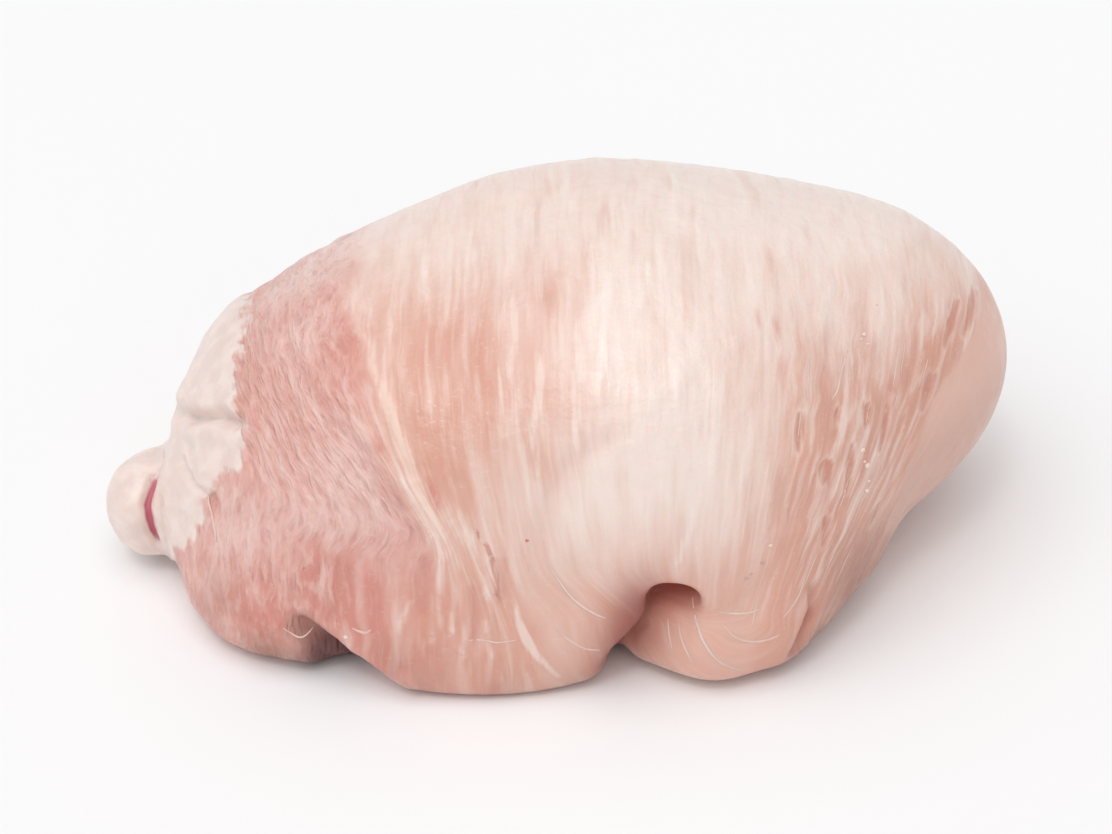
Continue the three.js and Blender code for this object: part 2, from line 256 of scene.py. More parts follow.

# Creases along these lines, as (depth, half the width, how dark, line). The darkness is painted shade in the
# creases, and the salmon streaks' own tint.
CREASES = [
    (3.6, 1.6, 0, COLLAR_CREASE),
    (1.4, 1.4, 0, LUMP_CREASE),
    (0.5, 1.6, 0.4, ANTRUM_GROOVE),
    (3.0, 2.0, 0.7, SIDE_FOLD),
    (1.3, 1.6, 0.4, SIDE_FOLD_TOP),
    (0.6, 3.2, 0.12, LOBE_FOLD),
    (0.4, 1.4, 0, FLAKE_EDGE),
    *[(0.2, 1.2, 0.4, streak) for streak in SALMON_STREAKS],
]

# Soft patches of colour, as (x, y, z, reach).
RED_PATCHES = [(-60, -63, 29, 26), (-80, -55, 20, 26), (-46, -69, 22, 22)]
WARM_PATCHES = [(-58, -22, 85, 18), (-55, -33, 77, 18), (-48, -46, 69, 9), (-34, -56, 60, 10)]
TAN_PATCHES = [(-30, -69, 25, 26), (-22, -72, 12, 26), (-36, -45, 75, 14), (-33, -52, 67, 12)]
# Patches of painted sheen on the antrum.
MILKY_SHEEN_PATCHES = [
    (-57, -50, 60, 20),
    (-58, -55, 50, 20),
    (-50, -56, 53, 13),
    (-88, -46, 34, 24),
    (-62, 23, 88, 22),
    (-73, 13, 84, 22),
    (-71, -14, 81, 14),
]
FRONT_PATCHES = [(20, -67, 34, 40), (48, -68, 24, 38), (2, -70, 22, 26)]
LOW_LOBE_PATCHES = [(26, -60, 56, 34)]
# Painted shade low on the right flank, in the dimple and under the heel.
SHADED_PATCHES = [
    (84, -44, 18, 30),
    (93, -34, 16, 22),
    (70, -55, 6, 18),
    (-69, -61, 16.5, 9),
    (-80, -60, 6, 14),
]
# Painted shade along the lower edges.
LOW_EDGE_PATCHES = [
    (-14, -73, 2, 18),
    (4, -73, 2, 18),
    (-36, -71, 6, 18),
    (-46, -71, 12, 13),
    (-78, -58, 4, 18),
    (-97, -48, 12, 14),
    (-95, -51, 19, 16),
]
# Painted shadow in the nick between the heel and the apron.
NICK_SHADOW_PATCHES = [(-57, -58, 5, 24)]
PEACH_PATCHES = [(1.5, -26, 98.5, 13), (-4.3, -55.7, 70, 12), (-25.8, -57.2, 61.1, 11)]
RED_THREADS = [(55, -25, 95.2, 6), (59.5, -26.5, 93, 6), (61, -35, 85, 7)]

# How far such patches are drawn out along the fibres.
THREAD_STRETCH = 2.6
PATCH_STRETCH = 1.7

# The small tags of flesh and the dimple by the nick, as (x, y, z).
FLESH_TAGS = [(-39.7, -72.7, 7.2), (-41.5, -72.4, 8.6), (-46.5, -71.3, 10.6)]
DIMPLE = (-70, -61, 17.5)

# Where the pale lobe begins on its left: heights, and how far across the fibres it begins at each.
LOBE_EDGE_Z = (50, 68, 84, 97, 106)
LOBE_EDGE_ACROSS = (-30, -14, 5, -5, 4)

# Where the smooth strip of the right end begins: heights, and the x of its edge at each.
STRIP_EDGE_Z = (20, 27, 35, 44, 52, 58, 63, 67, 74)
STRIP_EDGE_X = (86, 91.7, 95.1, 98.3, 101.4, 103.3, 105.2, 109.3, 124)

# The direction that is seen as upward on the front, for what fades towards the crown.
UP_AND_BACK = (0, 0.574, 0.819)

# Thin white threads that the photograph shows, as points (x, y, z) on the surface, with their widest radius.
THREADS = [
    (0.45, [(37.5, -58.3, 26.9), (39.2, -67.6, 21.1), (41.7, -70.5, 16.7),
            (45, -71.4, 12.9), (51, -70.3, 8.7)]),
    (0.30, [(33.8, -64.7, 21.5), (34.3, -67.2, 18.3), (36, -69.3, 14.7), (37.7, -70.4, 11.6)]),
    (0.25, [(30.8, -63, 21.5), (31.1, -65.5, 18.3), (32, -67.4, 14.5)]),
    (0.40, [(45.4, -67.1, 22.8), (49, -68.8, 19.6), (53.2, -68.7, 17.8),
            (57.4, -68.1, 17.6), (61.8, -66.9, 18.8)]),
    (0.35, [(44.4, -63.6, 26.3), (47.6, -65.2, 25.4), (52.5, -65.7, 25.5), (55.8, -65.3, 26.7)]),
    (0.30, [(61.9, -65.8, 23.2), (65.5, -63.1, 27), (67.4, -60.9, 30.5), (68.1, -59.1, 35.3)]),
    (0.45, [(-2.7, -64.6, 43.1), (1.6, -66.2, 35.7), (4.9, -67.4, 31.5),
            (9.3, -68.6, 28.3), (13.6, -69.1, 26.2)]),
    (0.30, [(0, -70, 23.1), (3.8, -70.7, 19.7), (8.2, -70.7, 16.6), (12.1, -70.2, 15.8)]),
    (0.30, [(-24.6, -71, 20.1), (-19.7, -71, 20.4), (-15.8, -71.3, 19.6), (-9.8, -71.1, 20.5)]),
    (0.28, [(-75.6, -61, 16.7), (-73.8, -61.3, 15.1), (-71.3, -61.9, 13.8),
            (-69.3, -61.5, 14.3), (-67.3, -61.1, 16.4)]),
    (0.40, [(-55.9, -67.1, 21.4), (-54.3, -67.7, 20.8), (-52.3, -68.2, 20.5), (-50.6, -68.3, 21.7)]),
    (0.60, [(-99.3, -29.4, 41.9), (-97.7, -33, 39.6), (-96.5, -36.4, 35.9), (-95.3, -40.9, 30.9)]),
    (0.35, [(80, -23.4, 83.8), (78, -29.7, 80.8), (76.7, -34.3, 78), (74.9, -37.1, 76.6)]),
]

# Loose threads that follow the fibres: how many, their steps, and the part of the surface they lie on,
# in front of one y and above one z.
LOOSE_THREADS = dict(
    count=16,
    steps=(6, 14),
    radius=(0.16, 0.27),
    across=(62, 112),
    upward=(-14, 66),
    before_y=30,
    above_z=16,
)

# How the threads are made: the step along a loose one, the corners round one, its flatness, how far along
# its half wave it begins and ends, and how full it is between.
THREAD_STEP = 1.1
THREAD_SIDES = 6
THREAD_FLAT = 0.2
THREAD_TAPER = (0.05, 0.95)
THREAD_FULLNESS = 0.6
THREAD_SEED = 7
CURVE_STEPS = 5

# Crumbs of fat, and specks of blood and of veins, as (x, y, z, radius).
FAT_CRUMBS = [
    (85.2, -17.1, 84.9, 0.7),
    (86, -19.1, 83, 0.5),
    (84.1, -18.4, 84.1, 0.4),
    (83.7, -40.4, 62.3, 0.8),
    (85, -41.2, 57.8, 0.9),
    (84.6, -41.9, 59.4, 0.5),
    (85.3, -43.2, 50.7, 0.8),
    (85.8, -42.1, 53.1, 0.5),
    (57.9, -61, 45.4, 0.6),
    (88.5, -7, 87.5, 0.5),
    (-57.7, -67.2, 18.3, 0.6),
]
BLOOD_SPECKS = [(-7.8, -63.4, 48.6, 0.5), (-69, -57.9, 35.1, 0.4)]
VEIN_SPECKS = [(55.9, -62.5, 40.7, 0.7), (51.6, -64.2, 36.6, 0.7), (52.8, -63.9, 37.8, 0.5)]

# The form of one speck: how fine its ball is, how narrow and uneven it is, and how close its lumps lie.
SPECK_DIVISIONS = 3
SPECK_NARROW = 0.8
SPECK_UNEVEN = 0.4
SPECK_LUMPS = 1.3

# Where the fat of the collar ends: heights, and the x of the edge at each.
FAT_EDGE_Z = (0, 19, 25, 39, 48, 54, 60, 66, 73)
FAT_EDGE_X = (-112, -108, -104, -97.5, -93, -87.5, -84.5, -88.5, -89.5)


def ramp(value, start, end):
    """Rises smoothly from 0 to 1 while value goes from start to end."""
    t = np.clip((value - start) / (end - start), 0, 1)
    return t * t * (3 - 2 * t)


def bell(away, width):
    """1 where the distance away is 0, falling to 0 over about the given width."""
    return np.exp(-((away / width) ** 2))


def distance(p, centre):
    """How far each point lies from a centre."""
    return np.linalg.norm(p - np.array(centre), axis=1)


def join(a, b, blend):
    """The smaller of two distances, rounded over the width blend where they are nearly alike."""
    near = np.maximum(blend - np.abs(a - b), 0) / blend
    return np.minimum(a, b) - near * near * blend * 0.25


def cut(a, b, blend):
    """What is left of the solid a once the solid b is taken out of it."""
    return -join(-a, b, blend)


def swelling(p, centre, half, turn=0, lean=0):
    """The distance of each point to a swelling, turned about the vertical and leaned about its first axis."""
    turn_cos, turn_sin = math.cos(math.radians(turn)), math.sin(math.radians(turn))
    lean_cos, lean_sin = math.cos(math.radians(lean)), math.sin(math.radians(lean))
    dx, dy, dz = (p - np.array(centre)).T
    level = dy * turn_cos - dx * turn_sin
    own = np.array([
        (dx * turn_cos + dy * turn_sin) / half[0],
        (level * lean_cos + dz * lean_sin) / half[1],
        (dz * lean_cos - level * lean_sin) / half[2],
    ])
    reach = np.linalg.norm(own, axis=0)
    steepness = np.linalg.norm(own / np.array(half)[:, None], axis=0)
    return reach * (reach - 1) / np.maximum(steepness, TINY)


def link_distance(p, start, end):
    """The distance of each point to a round link between two (x, y, z, radius)."""
    start, end = np.array(start, float), np.array(end, float)
    run = end[:3] - start[:3]
    to = p - start[:3]
    t = np.clip(to @ run / (run @ run), 0, 1)
    return np.linalg.norm(to - t[:, None] * run, axis=1) - start[3] - (end[3] - start[3]) * t


def chain(p, points, blend=CHAIN_BLEND):
    """The distance of each point to a chain of round links."""
    nearest = None
    for start, end in zip(points, points[1:]):
        away = link_distance(p, start, end)
        nearest = away if nearest is None else join(nearest, away, blend)
    return nearest


def bag(p):
    """The rounded bag with its soft valley, before any fold."""
    d = swelling(p, **FUNDUS)
    for form, blend in BAG_FORMS:
        d = join(d, swelling(p, **form), blend)
    d = join(d, join(swelling(p, **CHEEK), swelling(p, **JOWL), CHEEK_BLEND), CHEEK_BLEND)
    from_valley = np.maximum(0, chain(p, VALLEY, VALLEY_LINKS_BLEND))
    return d + VALLEY_DEPTH * bell(from_valley, VALLEY_WIDTH)


def arch(p):
    """The hollow under the front arch."""
    d = chain(p, ARCH_TOP)
    for hollow in ARCH_HOLLOWS:
        d = join(d, chain(p, hollow), CHAIN_BLEND)
    return d


def stomach(p):
    """The whole piece: below zero inside, above zero outside."""
    x, y, z = p.T
    d = cut(bag(p), arch(p), HOLLOW_BLEND)
    deep_roll = ramp(y, ROLL_BLEND["deep_start"], ROLL_BLEND["deep_end"])
    joined_roll = np.maximum(deep_roll, ramp(x, ROLL_BLEND["start"], ROLL_BLEND["end"]))
    roll_blend = ROLL_BLEND["loose"] + (ROLL_BLEND["joined"] - ROLL_BLEND["loose"]) * joined_roll
    d = join(d, chain(p, ROLL, ROLL_LINKS_BLEND), roll_blend)
    d = cut(d, chain(p, SIDE_CREASE), HOLLOW_BLEND)
    d = cut(d, chain(p, HEEL_NICK), HOLLOW_BLEND)
    joined_heel = ramp(distance(p, HEEL_LOOSE_AT), HEEL_BLEND["start"], HEEL_BLEND["end"])
    heel_blend = HEEL_BLEND["loose"] + (HEEL_BLEND["joined"] - HEEL_BLEND["loose"]) * joined_heel
    d = join(d, swelling(p, **HEEL), heel_blend)
    for form, blend in LEFT_END_FORMS:
        d = join(d, swelling(p, **form), blend)
    return cut(d, z, FLOOR_BLEND)


def slope_at(p, here):
    """The slope of the field at each point, where it has the value here."""
    return np.array([(stomach(p + PROBE * axis) - here) / PROBE for axis in np.eye(3)]).T


def settle(p):
    """Moves each point on to the surface, along the slope."""
    for _ in range(SETTLE_ROUNDS):
        here = stomach(p)
        slope = slope_at(p, here)
        move = -here[:, None] * slope / np.sum(slope * slope, axis=1, keepdims=True)
        length = np.linalg.norm(move, axis=1, keepdims=True)
        p = p + move * np.minimum(1, LARGEST_MOVE / np.maximum(length, TINY))
    return p


def even_out(p, edges):
    """Evens out the net: each corner goes to the mean of its neighbours, and back on to the surface."""
    counts = np.bincount(edges.ravel(), minlength=len(p))[:, None]
    for _ in range(EVEN_ROUNDS):
        sums = np.zeros_like(p)
        np.add.at(sums, edges[:, 0], p[edges[:, 1]])
        np.add.at(sums, edges[:, 1], p[edges[:, 0]])
        p = settle(sums / counts)
    return p


def bumps(p, sizes, seed):
    """Smooth noise from -1 to 1 with lumps of one size, or of three sizes along the three axes."""
    return np.array([noise.noise(place) for place in (p / np.array(sizes, float) + seed).tolist()])


def rough(p, sizes, octaves, seed):
    """Noise with finer lumps added on the coarser ones, each octave half as large and half as strong."""
    sizes = np.array(sizes, float)
    return sum(bumps(p, sizes / 2**k, seed + k * OCTAVE_SHIFT) / 2**k for k in range(octaves))


def line_edge(p, *lines):
    """How far each point lies outside the nearest of some lines of (x, y, z, half width)."""
    links = [link for line in lines for link in zip(line, line[1:])]
    return np.min([link_distance(p, start, end) for start, end in links], axis=0)


def near_line(p, points, width):
    """1 on a line of (x, y, z, half width), falling to 0 over about the given width beside it."""
    return bell(np.maximum(line_edge(p, points), 0), width)


def patches(p, spots):
    """Soft patches around spots (x, y, z, reach): 1 at the middle of one, 0 beyond its reach."""
    return np.max([ramp(distance(p, spot[:3]), spot[3], 0) for spot in spots], axis=0)


def streaky_patches(grain, spots, stretch=1):
    """Soft patches that lie along the fibres, drawn out or not."""
    spots = np.array(spots, float)
    centres = fibre_grain(spots[:, :3]) * (stretch, 1, 1)
    return patches(grain * (stretch, 1, 1), np.hstack([centres, spots[:, 3:]]))


def places(p):
    """The coordinates of the points, by name."""
    return dict(zip("xyz", p.T))


def zone(at, **limits):
    """How far each point lies in a zone: for each measure, where the zone begins and where it is full."""
    return math.prod(ramp(at[name], *ends) for name, ends in limits.items())


def fibre_spread(p):
    """How far apart the fibres lie at each point, as a share of how far they lie on the crown."""
    return 1 - FIBRES_CLOSE_BY * zone(places(p), z=(90, 5), y=(40, -20))


def fibre_place(p):
    """Where each point lies across the fibres, in millimetres."""
    return FIBRES_MEET_X + (p[:, 0] - FIBRES_MEET_X) / fibre_spread(p)


def streak_place(p):
    """Where each point lies across the streaks: they slant high on the antrum and stand upright low on it,
    and left of the fold they close up less than the muscle's own edges do."""
    at = places(p)
    x = at["x"]
    moved = x + ANTRUM_SLANT * zone(at, x=(-16, -80), z=(56, 90))
    spread = fibre_spread(p)
    edge_x = FIBRES_MEET_X + (ANTRUM_EDGE - FIBRES_MEET_X) * spread
    at["inward"] = edge_x - moved
    follow = (1 - UPRIGHT_BY * zone(at, inward=(4, 60), z=(84, 52))) * zone(at, z=(40, 56))
    upright = ANTRUM_EDGE + moved - ANTRUM_MID_X - follow * (edge_x - ANTRUM_MID_X)
    front_spread = np.where(x < FIBRES_MEET_X, 1 - LEFT_CLOSE_BY * (1 - spread), spread)
    front = FIBRES_MEET_X + (x - FIBRES_MEET_X) / front_spread
    return upright + (front - upright) * ramp(fibre_place(p), *ANTRUM_TO_FRONT)


# How much the fibres wave, more on the antrum and on the right, and where their curl on the leg ends.
WAVY = 0.3
ANTRUM_WAVY = 0.9
RIGHT_WAVY = 0.6
LEG_ENDS_X = (34, 26)


def fibre_grain(p):
    """Places along the fibres: the first coordinate runs across them, the other two mostly along."""
    x, y, z = p.T
    from_fold = distance(p, FOLD_CENTRE)
    at = dict(places(p), from_roll=chain(p, ROLL, ROLL_LINKS_BLEND))
    on_roll = zone(at, from_roll=(5, 1), x=(74, 58), z=(28, 20))
    on_leg = zone(at, from_roll=(2, 5), x=(-16, 6), y=(-20, -50), z=(42, 24)) * ramp(x, *LEG_ENDS_X)
    across = streak_place(p)
    across += (ROLL_ACROSS + from_fold - across) * on_roll
    across += (LEG_ACROSS - from_fold - across) * on_leg
    wavy = WAVY + ANTRUM_WAVY * zone(at, x=(-30, -60)) + RIGHT_WAVY * zone(at, x=(50, 70))
    wander = bumps(p, sizes=22, seed=71.3) + wavy * bumps(p, sizes=7, seed=83.9)
    return np.array([across + wander, y, z]).T


# How pale the lobe, the right flank and the crown are, and what makes them less so in places.
LOBE_REACH = 48
LOBE_REACH_LESS = 20
LOBE_EDGE_PALE = 0.54
LOBE_TOP_LESS = 0.14
FLANK_PALE = 0.66
FLANK_LEFT_PALE = 0.15
CROWN_PALE = 0.82
CROWN_RIGHT_MORE = 0.28
STREAKS_PALE = 0.3
CROWN_STREAKS_LESS = 0.65
PEACH_LESS = 0.5
STRIP_PALE_LESS = 0.2


def pale_haze(at, grain, soft, edge_strip):
    """How far the pale haze covers each point."""
    lobe_reach = LOBE_REACH - LOBE_REACH_LESS * zone(at, z=(80, 92))
    lobe = np.clip(at["from_lobe"] / lobe_reach + LOBE_EDGE_PALE, 0, 1) * zone(at, z=(22, 66))
    lobe *= 1 - LOBE_TOP_LESS * zone(at, z=(70, 84))
    flank = FLANK_PALE * zone(at, height=(36, 72)) + FLANK_LEFT_PALE * zone(at, across=(86, 62), z=(16, 50))
    crown = (CROWN_PALE + CROWN_RIGHT_MORE * zone(at, across=(15, 50))) * zone(at, height=(56, 92))
    on_lobe = zone(at, across=(68, 34))
    pale = np.maximum(on_lobe * lobe + (1 - on_lobe) * flank, crown)
    pale += STREAKS_PALE * soft * (1 - CROWN_STREAKS_LESS * zone(at, height=(60, 88)))
    pale -= PEACH_LESS * streaky_patches(grain, PEACH_PATCHES, PATCH_STRETCH)
    return pale - STRIP_PALE_LESS * edge_strip


# How strong the other marks are, how far they sway, and between which values their edges are soft.
RIGHT_SINKS = 14
FAR_RIGHT_SINKS = 22
STRIP_EDGE_SWAY = 1.5
STRIP_EDGE_SOFT = (-0.6, 1.2)
STRIP_SHADE = 0.3
PATCH_SOFT = (0.05, 0.6)
LOW_LOBE_SMOOTH = 0.4
LINE_SWAY = (0.9, 0, 0)
STROKE_SOFT = (0.05, 0.6)
STROKES_ON_PALE = (0.15, 0.7)
DRAWN_STROKES = 0.95
DRAWN_STROKE_SOFT = (1.3, -0.8)
VEIL_BANDS = 1.2
FRONT_BANDS_LESS = 0.35
SMOOTH_BANDS_LESS = 0.8
LOW_ANTRUM_WIDER = 12
VALLEY_NARROWER = 14
VALLEY_ORANGE = 0.65
VALLEY_ORANGE_MORE = 0.35
LOW_FLANK_ORANGE = 0.85
FRONT_ORANGE = 0.3
LEG_ORANGE = 0.9
LEG_ORANGE_WIDTH = 16
# How wide the painted shade along the leg's edge is, and how dark the painted shade in the crevice is.
LEG_SHADE_WIDTH = 7.5
CREVICE_SHADE = 0.8
WARM_RED = 0.75
RED_STREAKS = 0.3
RED_STREAKS_SOFT = (0, 0.4)
MILKY_SHEEN_MORE = 0.4
VEIL_GLINTS = 0.7
ANTRUM_GLINTS = 0.5
SMOOTH_FIBRES_LESS = 0.9
FRONT_FIBRES_MORE = 0.25
LOW_EDGE_SHADE = 0.4
FAT_EDGE_SWAY = 2.5


def surface_marks(p):
    """What the material and the relief need to know at each point."""
    x, _, z = p.T
    across = fibre_place(p)
    upward = p @ np.array(UP_AND_BACK)
    at = dict(places(p), across=across, upward=upward)
    at["from_lobe"] = across - np.interp(z, LOBE_EDGE_Z, LOBE_EDGE_ACROSS)
    at["from_roll"] = chain(p, ROLL, ROLL_LINKS_BLEND)
    at["from_wall"] = cut(bag(p), arch(p), HOLLOW_BLEND)
    at["from_heel"] = swelling(p, **HEEL)
    at["from_throat"] = distance(p, THROAT_SHADE_CENTRE)
    at["in_nick"] = patches(p, NICK_SHADOW_PATCHES)
    sunk = RIGHT_SINKS * zone(at, across=(88, 112)) + FAR_RIGHT_SINKS * zone(at, across=(112, 130))
    at["height"] = upward - sunk
    at["low_across"] = across + LOW_ANTRUM_WIDER * zone(at, z=(54, 28))
    at["valley_across"] = at["low_across"] - VALLEY_NARROWER * zone(at, upward=(46, 72))

    grain = fibre_grain(p)
    soft = rough(grain, sizes=(8, 50, 50), octaves=3, seed=5.1)
    beyond = x - np.interp(z, STRIP_EDGE_Z, STRIP_EDGE_X) + STRIP_EDGE_SWAY * soft
    edge_strip = ramp(beyond, *STRIP_EDGE_SOFT) * zone(at, y=(45, 10))
    front = ramp(patches(p, FRONT_PATCHES), *PATCH_SOFT)
    low_lobe = LOW_LOBE_SMOOTH * ramp(patches(p, LOW_LOBE_PATCHES), *PATCH_SOFT)
    smooth = np.max([edge_strip, front, low_lobe], axis=0)
    pale = pale_haze(at, grain, soft, edge_strip)

    swayed = p + np.outer(bumps(p, sizes=8, seed=29.3), LINE_SWAY)
    drawn_strokes = DRAWN_STROKES * ramp(line_edge(swayed, *STROKES), *DRAWN_STROKE_SOFT)
    random_strokes = ramp(bumps(grain, sizes=(3.8, 30, 30), seed=15.7), *STROKE_SOFT) * zone(at, z=(40, 66))
    random_strokes *= np.clip(pale, *STROKES_ON_PALE) * (1 - smooth)

    veil = zone(at, across=(50, 76), z=(10, 36), upward=(80, 52)) * (1 - edge_strip)
    bands = rough(grain, sizes=(4.2, 24, 24), octaves=2, seed=47.3)
    bands += VEIL_BANDS * veil * rough(grain, sizes=(2.6, 11, 11), octaves=2, seed=19.9)
    bands *= (1 - FRONT_BANDS_LESS * front) * (1 - SMOOTH_BANDS_LESS * np.maximum(smooth - front, 0))
    antrum = zone(at, low_across=(-50, -64))
    valley = zone(at, valley_across=(-54, -36), from_lobe=(14, -26), upward=(84, 56))
    low_flank = zone(at, across=(56, 82), height=(74, 40))
    # Painted shade in the crevice between the roll and the wall.
    crevice_shade = CREVICE_SHADE * zone(at, from_roll=(2, 0.5), from_wall=(5, 0.5), x=(40, 30))
    warm = streaky_patches(grain, WARM_PATCHES, PATCH_STRETCH)
    red = np.maximum(streaky_patches(grain, RED_PATCHES), WARM_RED * warm)
    fat_edge = np.interp(z, FAT_EDGE_Z, FAT_EDGE_X)
    fat_edge += FAT_EDGE_SWAY * rough(p, sizes=9, octaves=2, seed=91.1)
    return dict(
        grain=grain,
        pale=pale,
        bands=bands,
        orange=np.max([
            (VALLEY_ORANGE + VALLEY_ORANGE_MORE * zone(at, upward=(12, 40))) * valley,
            LOW_FLANK_ORANGE * low_flank * (1 - edge_strip),
            FRONT_ORANGE * front,
            LEG_ORANGE * near_line(p, LEG_EDGE, LEG_ORANGE_WIDTH),
        ], axis=0),
        antrum=antrum,
        wrinkled=antrum * (1 - zone(at, x=(-64, -50), z=(48, 30))),
        red=red + RED_STREAKS * soft * ramp(red, *RED_STREAKS_SOFT),
        # The painted sheen on the antrum, stronger higher up.
        milky_sheen=patches(p, MILKY_SHEEN_PATCHES) * (1 + MILKY_SHEEN_MORE * zone(at, upward=(60, 76))),
        veil=veil,
        strokes=np.maximum(random_strokes, drawn_strokes),
        whites=line_edge(swayed, *WHITE_LINES),
        windows=line_edge(swayed, *WINDOWS),
        glinting=np.max([valley, VEIL_GLINTS * veil, ANTRUM_GLINTS * antrum], axis=0),
        threads=streaky_patches(grain, RED_THREADS, THREAD_STRETCH),
        fibrous=1 - SMOOTH_FIBRES_LESS * smooth + FRONT_FIBRES_MORE * front,
        tan=patches(p, TAN_PATCHES),
        shaded=np.max([
            patches(p, SHADED_PATCHES),
            LOW_EDGE_SHADE * patches(p, LOW_EDGE_PATCHES),
            STRIP_SHADE * edge_strip * zone(at, z=(64, 44)),
        ], axis=0),
        # Painted shade in the recess under the arch.
        throat=zone(at, from_throat=(17, 5)),
        # Painted shadow in the nick, on the heel only.
        nick=zone(at, in_nick=(0, 0.6), from_heel=(8, 3)),
        # Painted shade along the leg's edge and in the crevice by the roll.
        leg_edge_shade=np.maximum(near_line(p, LEG_EDGE, LEG_SHADE_WIDTH), crevice_shade),
        fat=fat_edge - x,
        tendon=line_edge(p, TENDON),
        strip=line_edge(p, STRIP),
        # Painted shade along the edge of the flap.
        flap_shade=line_edge(p, FLAKE_EDGE),
        slit=line_edge(p, SLIT),
        # Painted shade in the creases, and the tint of the salmon streaks.
        crease_shade_and_streaks=np.max([dark * near_line(p, line, width) for _, width, dark, line in CREASES], axis=0),
    )


# How far each form of the relief stands out or lies deep in millimetres, and how wide or soft it is.
SWELLS = 0.7
FIBRES = 0.38
PALE_FIBRES_LESS = 0.16
FINE_FIBRES = 0.12
ANTRUM_WRINKLES = 0.55
WINDOW_DEPTH = 0.35
WINDOW_SOFT = (0.6, -0.6)
STROKE_HEIGHT = 0.2
FAT_SOFT = (-1.5, 2.0)
FAT_HEIGHT = 0.7
FAT_LUMPS = 1.3
FAT_BEADS = 0.35
TENDON_HEIGHT = 0.5
TENDON_SOFT = (1.5, -1.5)
CREASE_LIP = 1.2
CREASE_LIP_BESIDE = 4.5
CREASE_LIP_WIDTH = 2.5
DIMPLE_DEPTH = 1.2
DIMPLE_WIDTH = 3.5
SLIT_DEPTH = 2.4
SLIT_WIDTH = 0.8
TAG_HEIGHT = 1.8
TAG_WIDTH = 1.4
RELIEF_BEGINS_Z = (0.3, 6)


def relief(p, marks):
    """How far each point of the surface stands out, in millimetres."""
    grain = marks["grain"]
    fat = ramp(marks["fat"], *FAT_SOFT)
    fibres = FIBRES - PALE_FIBRES_LESS * np.clip(marks["pale"], 0, 1)
    fibres *= bumps(grain, sizes=(7, 40, 40), seed=11.7)
    fibres += FINE_FIBRES * bumps(grain, sizes=(3, 16, 16), seed=23.5)
    fibres += marks["antrum"] * ANTRUM_WRINKLES * bumps(grain, sizes=(4.2, 9, 9), seed=37.9)
    fibres += TENDON_HEIGHT * ramp(marks["tendon"], *TENDON_SOFT)
    lumps = FAT_HEIGHT + FAT_LUMPS * bumps(p, sizes=13, seed=51.3) + FAT_BEADS * bumps(p, sizes=5, seed=63.1)
    out = SWELLS * bumps(p, sizes=30, seed=3.1) + (1 - fat) * marks["fibrous"] * fibres + fat * lumps
    out += STROKE_HEIGHT * marks["strokes"] - WINDOW_DEPTH * ramp(marks["windows"], *WINDOW_SOFT)
    out -= sum(depth * near_line(p, line, width) for depth, width, _, line in CREASES)
    out += CREASE_LIP * bell(line_edge(p, COLLAR_CREASE) - CREASE_LIP_BESIDE, CREASE_LIP_WIDTH)
    out -= DIMPLE_DEPTH * bell(distance(p, DIMPLE), DIMPLE_WIDTH)
    out -= SLIT_DEPTH * near_line(p, SLIT, SLIT_WIDTH)
    from_tag = np.min([distance(p, tag) for tag in FLESH_TAGS], axis=0)
    out += TAG_HEIGHT * bell(from_tag, TAG_WIDTH)
    return out * ramp(p[:, 2], *RELIEF_BEGINS_Z)


def new_piece(name, mesh, material):
    """A named piece of the object, riding on its one body."""
    mesh.materials.append(material)
    mesh.shade_smooth()
    piece = bpy.data.objects.new(name, mesh)
    bpy.context.scene.collection.objects.link(piece)
    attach(piece, BODY)
    return piece


def field_slope(p):
    """The outward direction of the surface at each point, of length 1."""
    slope = slope_at(p, stomach(p))
    return slope / np.linalg.norm(slope, axis=1, keepdims=True)


def refined_mesh(node):
    """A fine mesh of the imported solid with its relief, and the marks that its material reads."""
    net = bmesh.new()
    net.from_mesh(node.data)
    bmesh.ops.remove_doubles(net, verts=net.verts, dist=WELD)
    bmesh.ops.subdivide_edges(net, edges=net.edges, cuts=EDGE_CUTS, use_grid_fill=True)
    bmesh.ops.triangulate(net, faces=net.faces)
    mesh = bpy.data.meshes.new("stomach_flesh")
    net.to_mesh(mesh)
    net.free()
    corners = np.empty(len(mesh.vertices) * 3)
    mesh.vertices.foreach_get("co", corners)
    edges = np.empty(len(mesh.edges) * 2, int)
    mesh.edges.foreach_get("vertices", edges)
    p = settle(corners.reshape(-1, 3) / METRES + MIDDLE)
    p = even_out(p, edges.reshape(-1, 2))
    marks = surface_marks(p)
    p = p + field_slope(p) * relief(p, marks)[:, None]
    p[:, 2] = np.maximum(p[:, 2], 0)
    mesh.vertices.foreach_set("co", ((p - MIDDLE) * METRES).ravel())
    for name, values in marks.items():
        kind, field = ("FLOAT_VECTOR", "vector") if values.ndim == 2 else ("FLOAT", "value")
        attribute = mesh.attributes.new(name, kind, "POINT")
        attribute.data.foreach_set(field, values.astype(np.float32).ravel())
    return mesh


def on_surface(p):
    """The points moved on to the surface with its relief, and the outward direction at each."""
    p = settle(p)
    out = field_slope(p)
    return p + out * relief(p, surface_marks(p))[:, None], out


def smooth_curve(points):
    """Points along a smooth curve through the given ones."""
    points = np.array(points, float)
    ends = np.vstack([2 * points[0] - points[1], points, 2 * points[-1] - points[-2]])
    curve = []
    for a, b, c, d in zip(ends, ends[1:], ends[2:], ends[3:]):
        for t in np.linspace(0, 1, CURVE_STEPS, endpoint=False):
            bend = (2 * a - 5 * b + 4 * c - d) * t**2 + (3 * b - a - 3 * c + d) * t**3
            curve.append(b + 0.5 * ((c - a) * t + bend))
    return np.array([*curve, points[-1]])


